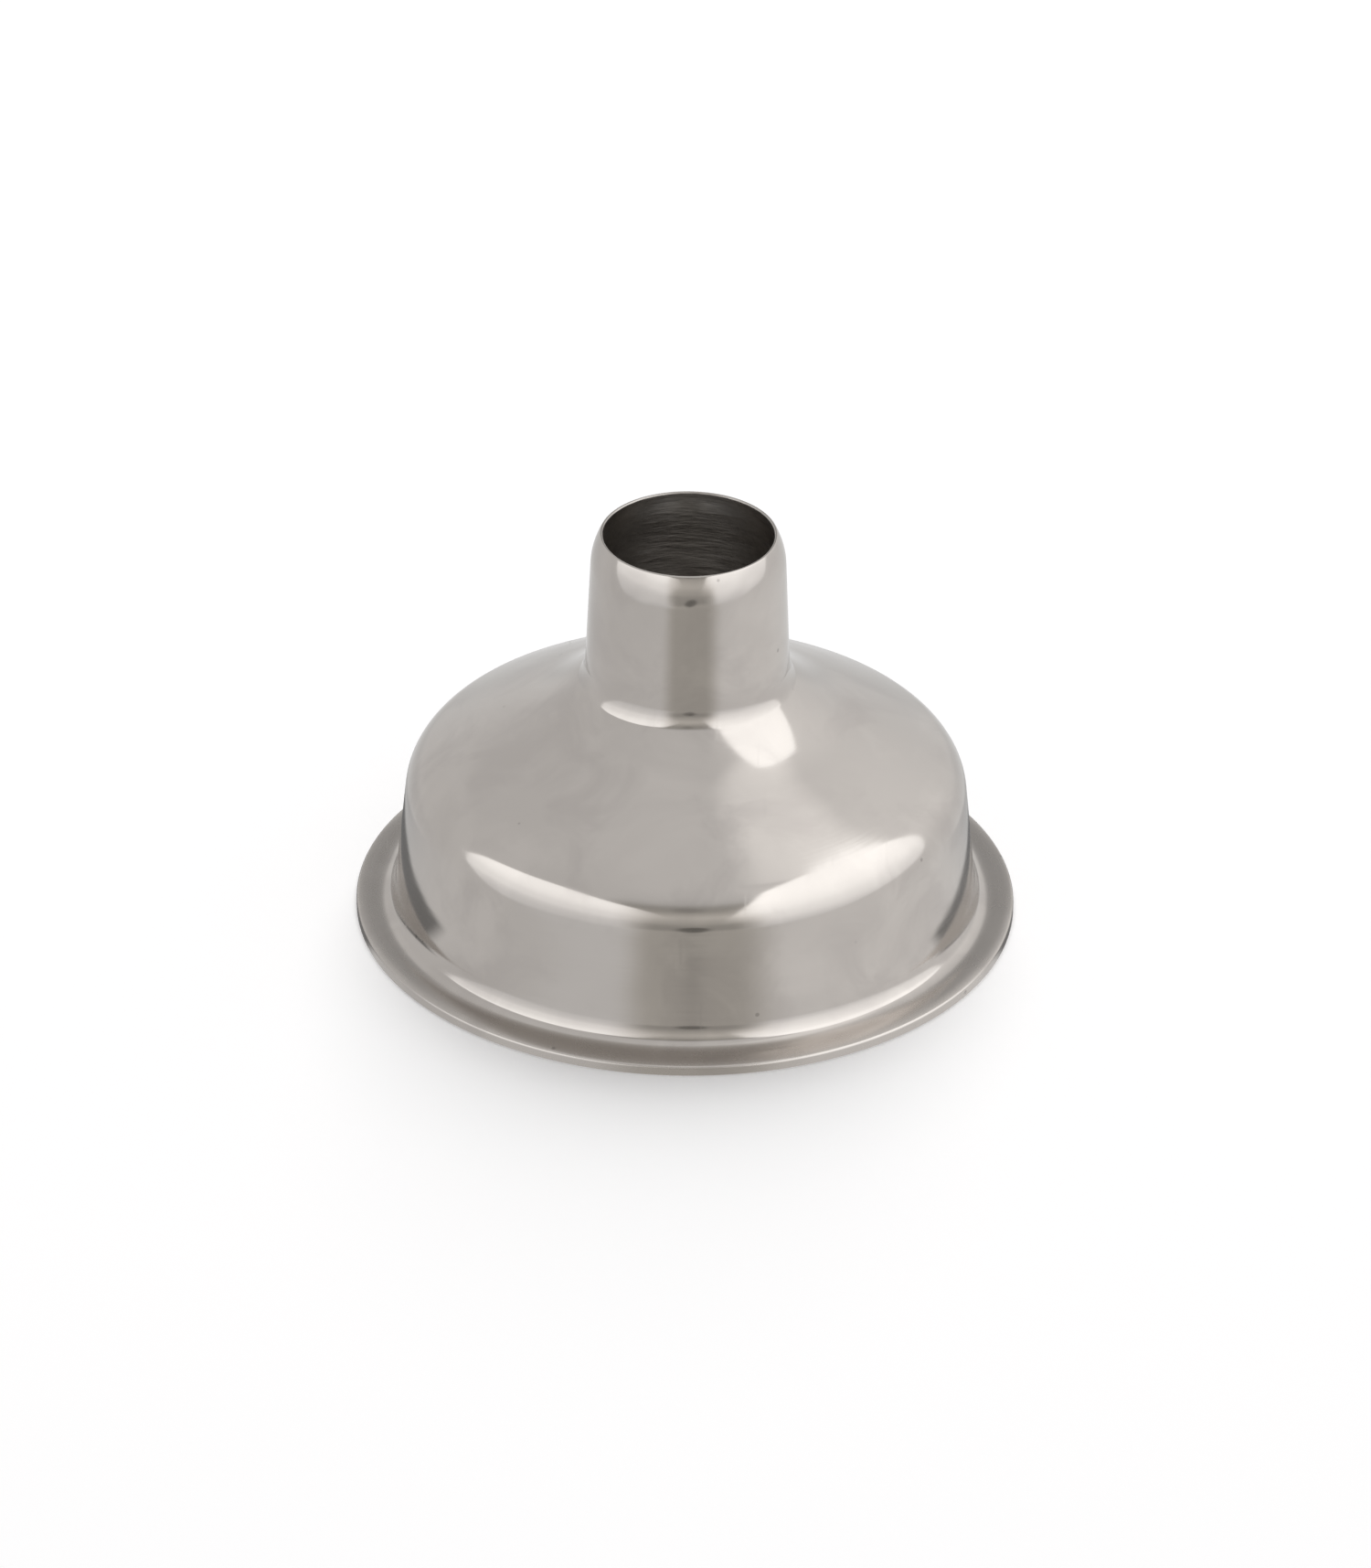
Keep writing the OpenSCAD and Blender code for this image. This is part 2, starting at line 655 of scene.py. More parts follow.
def finish_piece(bm: bmesh.types.BMesh, name: str, materials: list[bpy.types.Material]) -> bpy.types.Object:
    """Turns a shell into a piece that rides on the frame.

    Args:
        bm: the shell, in metres.
        name: the piece's name.
        materials: its materials, in the order of the faces' indices.

    Returns:
        The piece.
    """
    for face in bm.faces:
        face.smooth = True
    for edge in bm.edges:
        edge.smooth = edge.calc_face_angle(0.0) < SHARP_ANGLE
    mesh = bpy.data.meshes.new(name)
    bm.to_mesh(mesh)
    bm.free()
    for material in materials:
        mesh.materials.append(material)
    piece = bpy.data.objects.new(name, mesh)
    bpy.context.scene.collection.objects.link(piece)
    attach(piece, "root")
    return piece


# ---------------------------------------------------------------------------
# The funnel's two parts
# ---------------------------------------------------------------------------
@dataclass
class Bowl:
    """The drawn bowl with its turned-down rim, dome and neck.

    Sizes are in mm. Angles are in degrees, and those of the arcs are the
    directions of the sheet's outward normal above the horizontal.

    Attributes:
        sheet: thickness of the sheet.
        rim_radius: radius of the rim's edge.
        flange_width: width of the flange, from the wall's line to the edge.
        roll: radius of the edge's corner.
        edge: radius of the wide curve that falls towards the corner.
        edge_split: where the corner gives way to this curve.
        flange_height: height of the flange.
        flange_fall: fall of the flange towards its edge.
        gutter: radius of the wide hollow beside the flange.
        gutter_split: where it gives way to the foot's tight hollow.
        foot_tight: radius of the foot's tight hollow.
        foot_wide: radius of the foot's wide hollow, beside the wall.
        foot_split: where the tight hollow gives way to the wide one.
        wall_lean: lean of the wall from the vertical.
        shoulder_height: height at which the wall turns into the shoulder.
        shoulder: radius of the shoulder.
        dome_slope: slope of the dome at the shoulder.
        dome: radius of the dome's curve.
        flare: radius of the hollow that flares the dome up to the root.
        root_tight: radius of the root's tight hollow.
        root_split: where it gives way to the wide one.
        root_wide: radius of the root's wide hollow, beside the spout.
        root_end: where the wide hollow ends at the seat.
        spout_radius: radius of the seat, which is the spout's at its foot.
        neck_radius: outer radius of the neck that stands inside the spout.
        lap: length of this neck.
        seat: height of the seat.
        inner_edge: how much earlier the inner skin's curve ends at the edge.
        turns: steps round the axis.
    """

    sheet: float = 0.4
    rim_radius: float = 18.5
    flange_width: float = 2.05
    roll: float = 0.16
    edge: float = 3.3
    edge_split: float = 74.0
    flange_height: float = 0.68
    flange_fall: float = 0.0
    gutter: float = 1.65
    gutter_split: float = 62.0
    foot_tight: float = 0.45
    foot_wide: float = 2.0
    foot_split: float = 30.0
    wall_lean: float = 5.8
    shoulder_height: float = 7.4
    shoulder: float = 2.8
    dome_slope: float = 31.5
    dome: float = 54.0
    flare: float = 12.0
    root_tight: float = 0.7
    root_split: float = 33.0
    root_wide: float = 1.95
    root_end: float = 4.5
    spout_radius: float = 5.68
    neck_radius: float = 5.205
    lap: float = 2.0
    seat: float = 15.525
    inner_edge: float = 6.0
    turns: int = 240

    def centres(self) -> dict[str, Vector]:
        """Works out the centres of the outer skin's arcs and the angles between them.

        Returns:
            The centres by name. "angles" holds where the dome and the flare end.
        """
        wall_radius = self.rim_radius - self.flange_width
        flange = 90.0 - self.flange_fall
        dome_start = 90.0 - self.dome_slope
        # The edge falls in a wide curve before it rolls over
        to_edge = along(self.edge_split) * (self.edge - self.roll)
        edge = Vector((self.rim_radius - self.roll - to_edge.x, self.flange_height - self.edge))
        roll = edge + to_edge
        wall_line = wall_radius * math.cos(math.radians(self.wall_lean))
        flange_line = edge.dot(along(flange)) + self.edge
        # The foot is a wide hollow at the wall, a tight one, and a wide one at the flange
        to_wide = along(self.foot_split) * (self.foot_wide - self.foot_tight)
        to_gutter = along(self.gutter_split) * (self.gutter - self.foot_tight)
        tight = crossing(
            self.wall_lean,
            wall_line + self.foot_wide - to_wide.dot(along(self.wall_lean)),
            flange,
            flange_line + self.gutter - to_gutter.dot(along(flange)),
        )
        leaned = self.shoulder_height * math.tan(math.radians(self.wall_lean))
        wall_top = Vector((wall_radius - leaned, self.shoulder_height))
        shoulder = wall_top - along(self.wall_lean) * self.shoulder
        dome = shoulder + along(dome_start) * (self.shoulder - self.dome)
        # The root is a wide hollow at the spout and a tight one at the flare
        root_wide = Vector((self.spout_radius, self.seat)) + along(self.root_end) * self.root_wide
        root_tight = root_wide - along(self.root_split) * (self.root_wide - self.root_tight)
        # The flare touches the tight hollow and the dome
        gap = root_tight - dome
        step, reach = self.flare - self.root_tight, self.dome + self.flare
        turn = math.acos((reach ** 2 - gap.length_squared - step ** 2) / (2 * gap.length * step))
        flare_start = math.degrees(math.atan2(gap.y, gap.x) - turn)
        flare = root_tight + along(flare_start) * step
        dome_end = math.degrees(math.atan2(flare.y - dome.y, flare.x - dome.x))
        return {
            "roll": roll,
            "edge": edge,
            "tight": tight,
            "wide": tight + to_wide,
            "gutter": tight + to_gutter,
            "shoulder": shoulder,
            "dome": dome,
            "flare": flare,
            "root_tight": root_tight,
            "root_wide": root_wide,
            "angles": Vector((dome_end, flare_start)),
        }

    def build(self) -> bmesh.types.BMesh:
        """Draws the section and turns it.

        Returns:
            The shell, in metres.
        """
        c = self.centres()
        dome_end, flare_end = c["angles"]
        flange, dome_start = 90.0 - self.flange_fall, 90.0 - self.dome_slope
        t = self.sheet
        web = self.seat - t
        web_angle = math.degrees(math.asin((c["root_wide"].y - web) / (self.root_wide + t)))
        neck = self.neck_radius
        pen = SectionPen((self.rim_radius, 0.0))
        pen.line((self.rim_radius, c["roll"].y))
        pen.arc(c["roll"], 0.0, self.edge_split, 12)
        pen.arc(c["edge"], self.edge_split, flange, 12)
        pen.line(c["gutter"] - along(flange) * self.gutter)
        pen.arc(c["gutter"], flange + 180, self.gutter_split + 180, 10)
        pen.arc(c["tight"], self.gutter_split + 180, self.foot_split + 180, 10)
        pen.arc(c["wide"], self.foot_split + 180, self.wall_lean + 180, 10)
        pen.line(c["shoulder"] + along(self.wall_lean) * self.shoulder, 12)
        pen.arc(c["shoulder"], self.wall_lean, dome_start, 24)
        pen.arc(c["dome"], dome_start, dome_end, 18)
        pen.arc(c["flare"], dome_end + 180, flare_end + 180, 10)
        pen.arc(c["root_tight"], flare_end + 180, self.root_split + 180, 8)
        pen.arc(c["root_wide"], self.root_split + 180, self.root_end + 180, 12)
        pen.line((self.spout_radius, self.seat))
        pen.line((neck, self.seat))
        pen.line((neck, self.seat + self.lap), 2)
        pen.line((neck - t, self.seat + self.lap))
        pen.line((neck - t, web), 2)
        pen.line(c["root_wide"] - along(web_angle) * (self.root_wide + t))
        pen.arc(c["root_wide"], web_angle + 180, self.root_split + 180, 8)
        pen.arc(c["root_tight"], self.root_split + 180, flare_end + 180, 6)
        pen.arc(c["flare"], flare_end + 180, dome_end + 180, 8)
        pen.arc(c["dome"], dome_end, dome_start, 14)
        pen.arc(c["shoulder"], dome_start, self.wall_lean, 16)
        pen.line(c["wide"] - along(self.wall_lean) * (self.foot_wide + t), 8)
        pen.arc(c["wide"], self.wall_lean + 180, self.foot_split + 180, 8)
        pen.arc(c["tight"], self.foot_split + 180, self.gutter_split + 180, 8)
        pen.arc(c["gutter"], self.gutter_split + 180, flange + 180, 8)
        pen.line(c["edge"] + along(flange) * (self.edge - t))
        pen.arc(c["edge"], flange, self.edge_split + self.inner_edge, 8)
        pen.line((self.rim_radius - t, 0.0))
        pen.line((self.rim_radius, 0.0))
        return pen.turned(self.turns)

    def dress(self, finishes: list[bpy.types.Material]) -> bpy.types.Object:
        """Builds the piece.

        Args:
            finishes: the outer and the inner material.

        Returns:
            The piece.
        """
        bm = self.build()
        mark_inside(bm)
        piece = finish_piece(bm, "bowl_shell", finishes)
        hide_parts("bowl")
        return piece


def mark_inside(bm: bmesh.types.BMesh) -> None:
    """Gives the faces that look down or towards the axis the second material.

    Args:
        bm: a turned shell.
    """
    bm.normal_update()
    for face in bm.faces:
        middle = face.calc_center_median()
        outward = Vector((middle.x, middle.y, 0.0)).normalized()
        if face.normal.dot(outward) + UPWARD_SHARE * face.normal.z < INSIDE_BELOW:
            face.material_index = Side.INSIDE.value


@dataclass
class Spout:
    """The spout that slips over the bowl's neck. Sizes in mm.

    Attributes:
        sheet: thickness of the sheet.
        base_radius: outer radius at the seat.
        nose_radius: outer radius where the nose begins.
        seat: height of the seat.
        tip: height of the tip.
        nose_length: height of the nose.
        nose_curve: radius of the nose's curve.
        lip: radius of the rounded lip.
        drawn_thin: length over which the bore stays straight.
        turns: steps round the axis.
    """

    sheet: float = 0.4
    base_radius: float = 5.68
    nose_radius: float = 5.41
    seat: float = 15.525
    tip: float = 23.574
    nose_length: float = 1.85
    nose_curve: float = 4.2
    lip: float = 0.1
    drawn_thin: float = 4.0
    turns: int = 192

    def build(self) -> bmesh.types.BMesh:
        """Draws the section and turns it.

        Returns:
            The shell, in metres.
        """
        lip = self.lip
        inner = self.base_radius - self.sheet
        nose_z = self.tip - self.nose_length
        lean = math.degrees(math.atan2(self.base_radius - self.nose_radius, nose_z - self.seat))
        nose = Vector((self.nose_radius, nose_z)) - along(lean) * self.nose_curve
        lip_angle = math.degrees(math.asin((self.tip - lip - nose.y) / (self.nose_curve - lip)))
        lip_centre = nose + along(lip_angle) * (self.nose_curve - lip)
        pen = SectionPen((self.base_radius, self.seat))
        pen.line((self.nose_radius, nose_z), 12)
        pen.arc(nose, lean, lip_angle, 20)
        pen.arc(lip_centre, lip_angle, lip_angle + 180, 14)
        pen.arc(nose, lip_angle, lean, 14)
        pen.line((inner, self.seat + self.drawn_thin), 5)
        pen.line((inner, self.seat), 4)
        pen.line((self.base_radius, self.seat))
        return pen.turned(self.turns)

    def dress(self, finishes: list[bpy.types.Material]) -> bpy.types.Object:
        """Builds the piece.

        Args:
            finishes: the outer and the inner material.

        Returns:
            The piece.
        """
        bm = self.build()
        mark_inside(bm)
        piece = finish_piece(bm, "spout_tube", finishes)
        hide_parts("spout")
        return piece


# ---------------------------------------------------------------------------
# Studio
# ---------------------------------------------------------------------------
def towards(azimuth: float, elevation: float) -> Vector:
    """Returns a direction by azimuth, 0 at the front and 90 at the right, and elevation, in degrees."""
    a, e = math.radians(azimuth), math.radians(elevation)
    return Vector((math.sin(a) * math.cos(e), -math.cos(a) * math.cos(e), math.sin(e)))


@dataclass(frozen=True)
class SoftPanel:
    """A soft light panel far from the funnel, given by its corners' directions.

    Attributes:
        corners: azimuth and elevation of each corner, in order round the panel.
        low_fade: azimuths between which its inner side fades in, low down.
        high_fade: the same higher up.
        levels: brightness against the sine of the elevation.
        softness: width of its other edges, as the sine of an angle.
        fade_heights: sines of the elevations between which low_fade gives way to high_fade.
    """

    corners: tuple[Point, ...]
    low_fade: Point
    high_fade: Point
    levels: tuple[Point, ...]
    softness: float = 0.03
    fade_heights: Point = (-0.1, 0.4)

    def mask(self, w: Wiring, direction: Socket, azimuth: Socket, height: Socket) -> Socket:
        """Adds the panel's mask.

        Args:
            w: the world's wiring.
            direction: the direction that is looked along.
            azimuth: its azimuth, in degrees.
            height: the sine of its elevation.

        Returns:
            A value that is 1 on the panel and 0 outside it.
        """
        points = [towards(*corner) for corner in self.corners]
        middle = sum(points, Vector()) / len(points)
        low, high = w.ramp(azimuth, *self.low_fade), w.ramp(azimuth, *self.high_fade)
        total = w.mix(w.ramp(height, *self.fade_heights), low, high)
        for start, end in zip(points, points[1:] + points[:1]):
            normal = start.cross(end).normalized()
            if normal.dot(middle) < 0:
                normal = -normal
            inward = w.vector("DOT_PRODUCT", direction, tuple(normal))
            total = w.math("MULTIPLY", total, w.ramp(inward, -self.softness / 2, self.softness / 2))
        return total


@dataclass(frozen=True)
class Studio:
    """Floor, light and camera.

    Angles are in degrees, heights on the drawn sky are sines of the
    elevation, and 1 is the brightness of a white wall.

    Attributes:
        right: the panel at the right.
        left: the panel at the left.
        gap_levels: brightness of the gap in front, against the height.
        gap_middle: azimuth of the gap's middle.
        gap_high: half widths between which the gap fades in.
        gap_low_left: azimuths between which it fades in at the left, near the floor.
        gap_low_right: the same at the right.
        gap_low_heights: heights between which the low gap gives way to the high one.
        gap_tint: colour of the gap.
        gap_tint_heights: heights between which this colour fades in.
        panel_tint: colour of the panels.
        sky_sides: shares to the right between which the sky's brightness changes.
        sky_levels: brightness of the sky before and after this change.
        side_glow: how much lighter the sky is at the right, above.
        glow_from: shares to the right between which this begins.
        glow_heights: heights between which it begins.
        side_shade: how much darker the sky is at the left.
        shade_from: shares to the right between which this begins.
        corner_glow: direction of a glow above the right panel.
        corner_edge: cosines of the angles from it between which it fades in.
        corner_gain: brightness that it adds.
        below_shade: how much darker the sky is behind and below.
        below_from: shares to the back between which this begins.
        below_heights: heights between which it begins.
        back_azimuths: azimuths between which the dull strip behind fades in.
        back_foot: heights between which it begins.
        back_head: heights between which it ends.
        back_level: brightness of this strip.
        blobs: direction, radius and brightness of the small dark patches in front.
        ambient: brightness of the world for matt surfaces.
        under: share of light that is mirrored from under the funnel, a painted shade.
        beside: the same close beside the funnel, a painted shadow.
        beside_from: shares to the back between which this begins.
        beside_reach: radii between which it ends, in mm.
        beside_sides: places from left to right between which it gets shorter, in mm.
        beside_cut: how much shorter it is at the right, in mm.
        behind: the same close behind it, a painted shadow.
        behind_from: shares to the back between which this begins.
        behind_reach: radii between which it ends, in mm.
        rim_edge: radii between which the floor under the funnel ends, in mm.
        floor_radius: radius of the floor, in metres.
        floor_colour: colour of the floor.
        floor_glow: light that the floor adds of its own.
        key_from: direction of the lamp.
        key_distance: distance of the lamp, in metres.
        key_size: diameter of the lamp, in metres.
        key_power: power of the lamp, in watts.
        lens: focal length of the camera, in mm.
        view_elevation: elevation of the camera.
        view_height: height on the axis that the camera's distance is taken from, in metres.
        view_distance: distance of the camera, in metres.
        view_roll: turn of the camera about its own axis.
        view_pan: turn to the side.
        view_tilt: turn up or down.
    """

    right: SoftPanel = SoftPanel(
        corners=(
            (6, 10), (21, 40), (44, 57), (70, 68.5), (90, 68), (107, 62.5), (114, 56.5), (118, 51),
            (121, 45), (117, 36), (112, 20), (109, 7), (104, -2), (98, -7), (40, -17), (6, -17),
        ),
        low_fade=(18.0, 37.0),
        high_fade=(7.0, 33.0),
        levels=(
            (-0.5, 0.97), (-0.33, 0.98), (-0.27, 1.1), (-0.17, 1.24), (-0.09, 1.38),
            (0.0, 1.52), (0.17, 1.68), (0.34, 1.88), (0.5, 2.0), (0.71, 2.1), (1.0, 2.1),
        ),
    )
    left: SoftPanel = SoftPanel(
        corners=(
            (-3, 10), (-11, 22), (-23, 32), (-46, 41), (-65, 41.5), (-82, 36), (-93, 28), (-98, 15),
            (-95, 4), (-86, -8), (-75, -18), (-3, -18),
        ),
        low_fade=(-11.0, -28.0),
        high_fade=(-3.0, -31.0),
        levels=(
            (-0.5, 0.92), (-0.33, 0.94), (-0.27, 1.04), (-0.14, 1.12),
            (0.0, 1.26), (0.08, 1.42), (0.2, 1.5), (0.34, 1.7), (0.5, 1.82), (0.71, 1.82), (1.0, 1.82),
        ),
    )
    gap_levels: tuple[Point, ...] = (
        (-0.5, 0.6), (-0.42, 0.59), (-0.35, 0.63), (-0.3, 0.63), (-0.25, 0.51), (-0.14, 0.49),
        (-0.05, 0.53), (0.0, 0.61), (0.1, 0.68), (0.2, 0.78), (0.28, 0.8), (0.35, 0.71), (0.42, 0.61),
        (0.5, 0.52), (0.59, 0.53), (0.65, 0.63), (0.74, 0.8), (0.87, 0.88), (1.0, 0.9),
    )
    gap_middle: float = 2.0
    gap_high: Point = (42.0, 26.0)
    gap_low_left: Point = (-32.0, -13.0)
    gap_low_right: Point = (42.0, 19.0)
    gap_low_heights: Point = (-0.31, -0.27)
    gap_tint: Colour = (1.02, 0.996, 0.948, 1.0)
    gap_tint_heights: Point = (0.75, 0.5)
    panel_tint: Colour = (0.992, 1.0, 1.01, 1.0)
    sky_sides: Point = (0.05, 0.85)
    sky_levels: Point = (0.9, 1.02)
    side_glow: float = 0.22
    glow_from: Point = (0.1, 0.7)
    glow_heights: Point = (-0.1, 0.7)
    side_shade: float = 0.05
    shade_from: Point = (-0.1, -0.7)
    corner_glow: Point = (114.0, 66.0)
    corner_edge: Point = (0.955, 0.999)
    corner_gain: float = 0.37
    below_shade: float = 0.14
    below_from: Point = (0.35, 1.0)
    below_heights: Point = (0.08, -0.12)
    back_azimuths: Point = (156.0, 163.0)
    back_foot: Point = (0.2, 0.3)
    back_head: Point = (0.8, 0.68)
    back_level: float = 0.48
    blobs: tuple[tuple[Point, float, float], ...] = (((1.0, 32.0), 5.0, 0.41), ((3.0, -12.5), 5.8, 0.22))
    ambient: float = 0.48
    under: float = 0.35
    beside: float = 0.3
    beside_from: Point = (-0.36, -0.24)
    beside_reach: Point = (21.8, 21.0)
    beside_sides: Point = (-5.0, 5.0)
    beside_cut: float = 0.9
    behind: float = 0.72
    behind_from: Point = (0.0, 0.5)
    behind_reach: Point = (30.0, 24.0)
    rim_edge: Point = (18.0, 18.4)
    floor_radius: float = 4.0
    floor_colour: Colour = (0.905, 0.9, 0.902, 1.0)
    floor_glow: float = 0.1
    key_from: Point = (174.0, 51.0)
    key_distance: float = 2.0
    key_size: float = 1.9
    key_power: float = 33.2
    lens: float = 204.52
    view_elevation: float = 30.2745
    view_height: float = 0.010
    view_distance: float = 0.49711
    view_roll: float = 0.588
    view_pan: float = 0.0067
    view_tilt: float = -0.2406

    def surround(self, w: Wiring, direction: Socket, x: Socket, y: Socket, height: Socket) -> Socket:
        """Adds the pale sky round the panels.

        Args:
            w: the world's wiring.
            direction: the direction that is looked along.
            x: its share to the right.
            y: its share to the back.
            height: the sine of its elevation.

        Returns:
            The brightness.
        """
        light = w.ramp(x, *self.sky_sides, *self.sky_levels)
        upper = w.math("MULTIPLY", w.ramp(x, *self.glow_from), w.ramp(height, *self.glow_heights))
        light = w.math("MULTIPLY_ADD", upper, self.side_glow, light)
        light = w.math("MULTIPLY_ADD", w.ramp(x, *self.shade_from), -self.side_shade, light)
        corner = w.vector("DOT_PRODUCT", direction, tuple(towards(*self.corner_glow)))
        light = w.math("MULTIPLY_ADD", w.ramp(corner, *self.corner_edge), self.corner_gain, light)
        below = w.math("MULTIPLY", w.ramp(y, *self.below_from), w.ramp(height, *self.below_heights))
        return w.math("MULTIPLY", light, w.math("MULTIPLY_ADD", below, -self.below_shade, 1.0))

    def gap_mask(self, w: Wiring, azimuth: Socket, height: Socket) -> Socket:
        """Adds the mask of the darker gap in front.

        Args:
            w: the world's wiring.
            azimuth: the azimuth that is looked along, in degrees.
            height: the sine of the elevation.

        Returns:
            A value that is 1 in the gap and 0 outside it.
        """
        off_middle = w.math("ABSOLUTE", w.math("SUBTRACT", azimuth, self.gap_middle))
        high = w.ramp(off_middle, *self.gap_high)
        low = w.math("MULTIPLY", w.ramp(azimuth, *self.gap_low_left), w.ramp(azimuth, *self.gap_low_right))
        return w.mix(w.ramp(height, *self.gap_low_heights), low, high)

    def glossy_light(self, w: Wiring) -> tuple[Socket, Socket]:
        """Adds what the steel mirrors: the sky, two panels, a gap in front, a strip behind and patches.

        Args:
            w: the world's wiring.

        Returns:
            The brightness and the tint.
        """
        direction = w.add("ShaderNodeTexCoord").outputs["Generated"]
        x, y, height = w.add("ShaderNodeSeparateXYZ", {0: direction}).outputs
        turn = w.math("ARCTAN2", x, w.math("MULTIPLY", y, -1.0))
        azimuth = w.math("MULTIPLY", turn, 180 / math.pi)
        light = self.surround(w, direction, x, y, height)
        gap = self.gap_mask(w, azimuth, height)
        light = w.mix(gap, light, w.curve(height, self.gap_levels))
        tinted = w.math("MULTIPLY", gap, w.ramp(height, *self.gap_tint_heights))
        tint = w.blend(tinted, WHITE, self.gap_tint)
        for panel in (self.right, self.left):
            mask = panel.mask(w, direction, azimuth, height)
            light = w.mix(mask, light, w.curve(height, panel.levels))
            tint = w.blend(mask, tint, self.panel_tint)
        turned = w.ramp(w.math("ABSOLUTE", azimuth), *self.back_azimuths)
        strip = w.math("MULTIPLY", turned, w.ramp(height, *self.back_foot))
        strip = w.math("MULTIPLY", strip, w.ramp(height, *self.back_head))
        light = w.mix(strip, light, self.back_level)
        for place, size, level in self.blobs:
            edge = math.cos(math.radians(size))
            near = w.vector("DOT_PRODUCT", direction, tuple(towards(*place)))
            light = w.mix(w.ramp(near, edge - BLOB_BLUR, edge + BLOB_BLUR), light, level)
        return light, tint

    def world(self) -> None:
        """Builds the world, white to the camera and plain to matt surfaces."""
        world = bpy.data.worlds.new("studio")
        bpy.context.scene.world = world
        world.use_nodes = True
        w = Wiring(world.node_tree)
        light, tint = self.glossy_light(w)
        rays = w.add("ShaderNodeLightPath").outputs
        mirrored = w.math("MAXIMUM", rays["Is Glossy Ray"], rays["Is Transmission Ray"])
        light = w.mix(mirrored, self.ambient, light)
        light = w.mix(rays["Is Camera Ray"], light, 1.0)
        tint = w.blend(mirrored, WHITE, tint)
        background = w.add("ShaderNodeBackground", {"Color": tint, "Strength": light})
        w.add("ShaderNodeOutputWorld", {"Surface": background.outputs[0]})

    def key(self) -> bpy.types.Object:
        """Hangs a soft lamp above and behind, which throws the soft shadow forward.

        Returns:
            The lamp.
        """
        data = bpy.data.lights.new("key", "AREA")
        data.shape = "DISK"
        data.size = self.key_size
        data.energy = self.key_power
        lamp = bpy.data.objects.new("key", data)
        bpy.context.scene.collection.objects.link(lamp)
        back = towards(*self.key_from)
        aim = back.to_track_quat("Z", "Y").to_matrix().to_4x4()
        lamp.matrix_world = Matrix.Translation(back * self.key_distance) @ aim
        lamp.visible_glossy = False
        return lamp

    def floor(self) -> bpy.types.Object:
        """Builds the floor.

        It is white to the camera with the funnel's shadow on it. The steel
        mirrors the studio through it, darkened by a painted shadow under, beside and behind the funnel.

        Returns:
            The floor.
        """
        bm = bmesh.new()
        bmesh.ops.create_circle(bm, cap_ends=True, segments=96, radius=self.floor_radius)
        mesh = bpy.data.meshes.new("floor")
        bm.to_mesh(mesh)
        bm.free()
        floor = bpy.data.objects.new("floor", mesh)
        bpy.context.scene.collection.objects.link(floor)
        material = bpy.data.materials.new("pale_floor")
        material.use_nodes = True
        w = Wiring(material.node_tree)
        where = w.add("ShaderNodeTexCoord").outputs["Object"]
        distance = w.vector("LENGTH", where)
        outside = w.ramp(distance, *(r * MM for r in self.rim_edge))
        rays = w.add("ShaderNodeLightPath").outputs
        shown = w.math("MAXIMUM", rays["Is Camera Ray"], rays["Is Transmission Ray"])
        glow_level = w.math("MULTIPLY", w.math("MULTIPLY", shown, outside), self.floor_glow)
        matt = w.add("ShaderNodeBsdfDiffuse", {"Color": self.floor_colour})
        glow = w.add("ShaderNodeEmission", {"Strength": glow_level})
        lit = w.add("ShaderNodeAddShader", {0: matt.outputs[0], 1: glow.outputs[0]})
        place = w.add("ShaderNodeSeparateXYZ", {0: where}).outputs
        to_back = w.math("DIVIDE", place["Y"], distance)
        # The painted shadow beside the funnel reaches less far on the right
        cut = w.ramp(place["X"], *(x * MM for x in self.beside_sides), 0.0, self.beside_cut * MM)
        near = w.ramp(w.math("ADD", distance, cut), *(r * MM for r in self.beside_reach))
        beside = w.math("MULTIPLY", w.ramp(to_back, *self.beside_from), near)
        near = w.ramp(distance, *(r * MM for r in self.behind_reach))
        behind = w.math("MULTIPLY", w.ramp(to_back, *self.behind_from), near)
        # Painted shadow: the mirrored floor is darkened under, beside and behind the funnel, standing in
        # for its shadow
        dimmed = w.math("MULTIPLY", w.mix(outside, self.under, 1.0), w.mix(beside, 1.0, self.beside))
        dimmed = w.math("MULTIPLY", dimmed, w.mix(behind, 1.0, self.behind))
        clear = w.add("ShaderNodeBsdfTransparent", {"Color": dimmed})
        mirrored = rays["Is Glossy Ray"]
        seen = w.add("ShaderNodeMixShader", {0: mirrored, 1: lit.outputs[0], 2: clear.outputs[0]})
        w.add("ShaderNodeOutputMaterial", {"Surface": seen.outputs[0]})
        mesh.materials.append(material)
        return floor

    def camera(self) -> bpy.types.Object:
        """Sets the camera.

        Returns:
            The camera.
        """
        data = bpy.data.cameras.new("camera")
        data.lens = self.lens
        data.sensor_width = 36.0
        data.clip_start = 0.01
        data.clip_end = 20.0
        camera = bpy.data.objects.new("camera", data)
        bpy.context.scene.collection.objects.link(camera)
        back = towards(0.0, self.view_elevation)
        camera.location = Vector((0.0, 0.0, self.view_height)) + back * self.view_distance
        aim = back.to_track_quat("Z", "Y").to_matrix().to_4x4()
        roll = Matrix.Rotation(math.radians(self.view_roll), 4, "Z")
        pan = Matrix.Rotation(math.radians(self.view_pan), 4, "Y")
        tilt = Matrix.Rotation(math.radians(self.view_tilt), 4, "X")
        camera.matrix_world = Matrix.Translation(camera.location) @ aim @ roll @ pan @ tilt
        bpy.context.scene.camera = camera
        return camera

    def build(self) -> None:
        """Builds the studio and sets the view transform."""
        self.world()
        self.key()
        self.floor()
        self.camera()
        bpy.context.scene.view_settings.view_transform = "Standard"


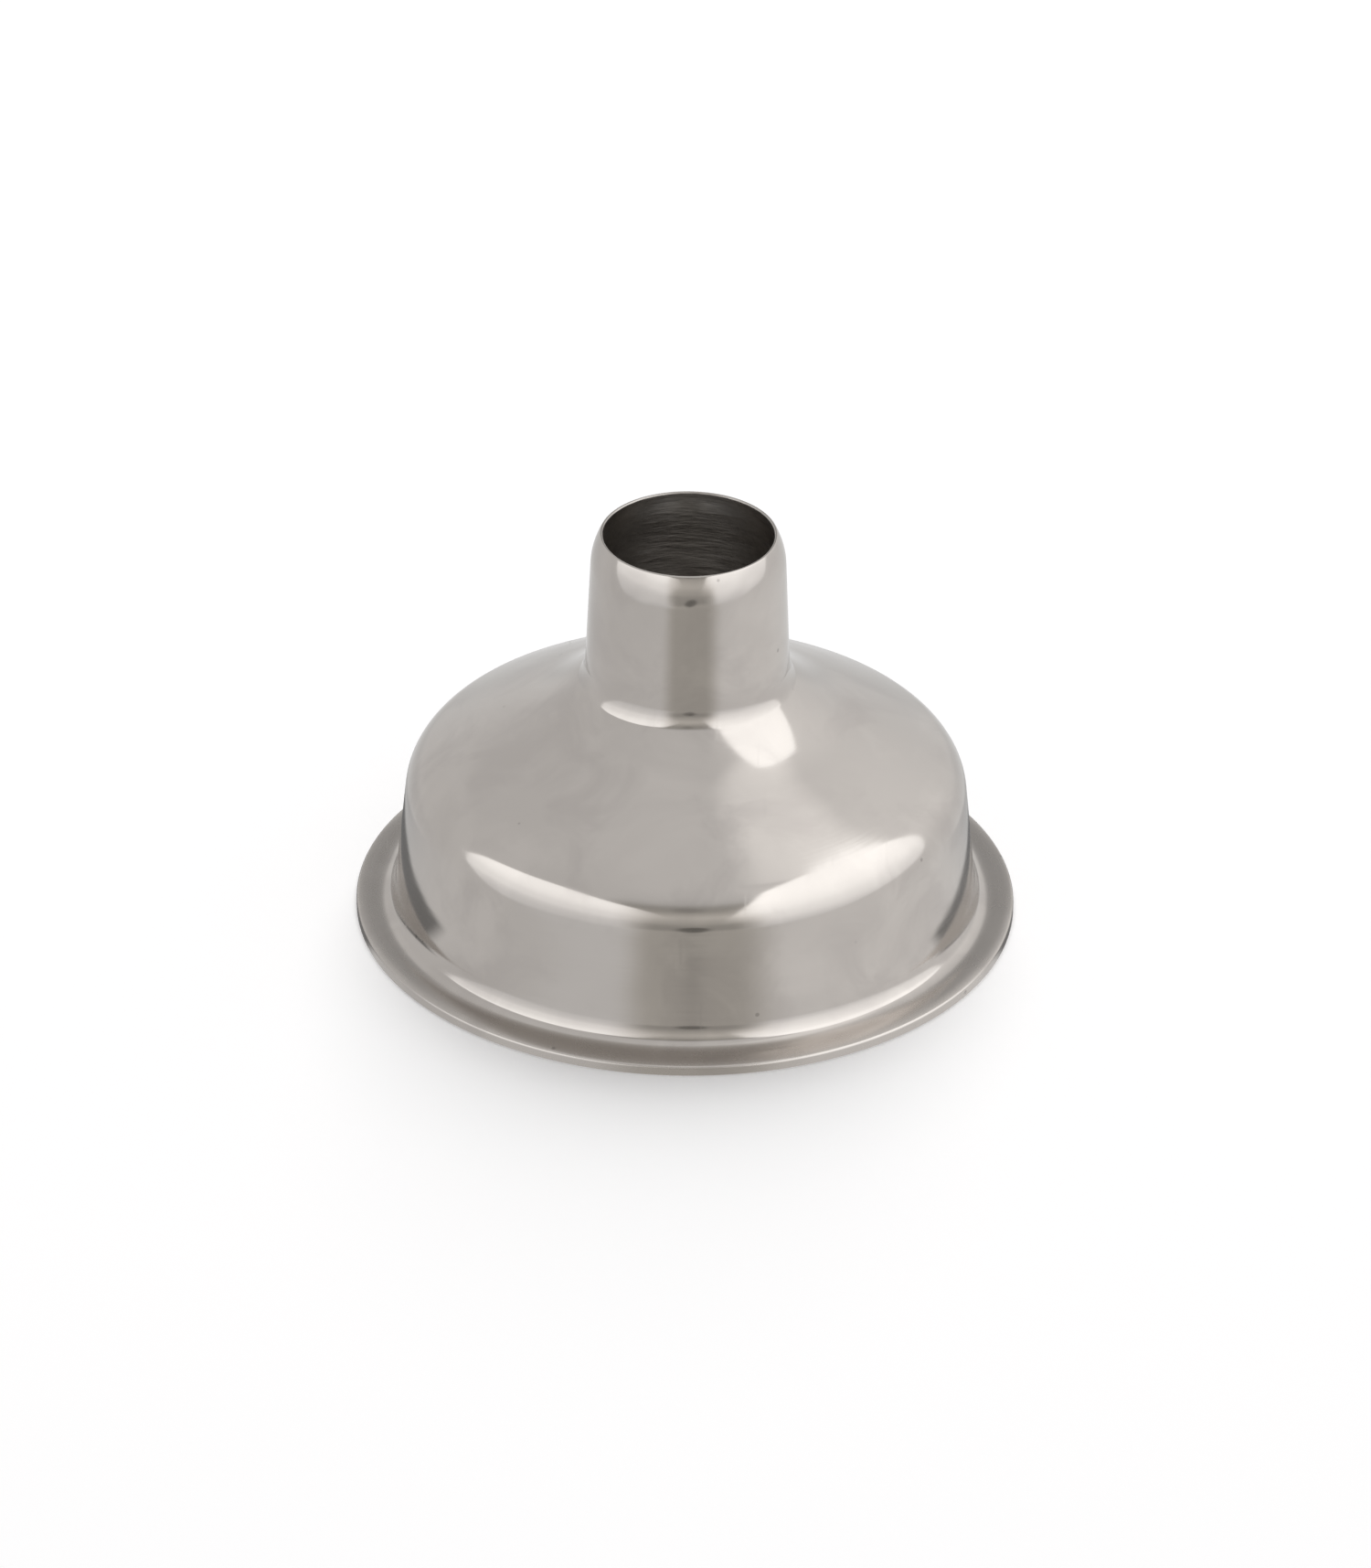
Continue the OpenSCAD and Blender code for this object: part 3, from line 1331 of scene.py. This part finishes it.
def main() -> None:
    """Builds the funnel and the studio."""
    logging.basicConfig(level=logging.INFO, format="%(name)s: %(message)s")
    effects = Effects()
    finishes = [POLISHED.build(effects), DRAWN_INSIDE_PAINTED_SHADE.build(effects)]
    for part in (Bowl(), Spout()):
        piece = part.dress(finishes)
        LOG.info("built %s with %d faces", piece.name, len(piece.data.polygons))
    Studio().build()


if __name__ == "__main__":
    main()
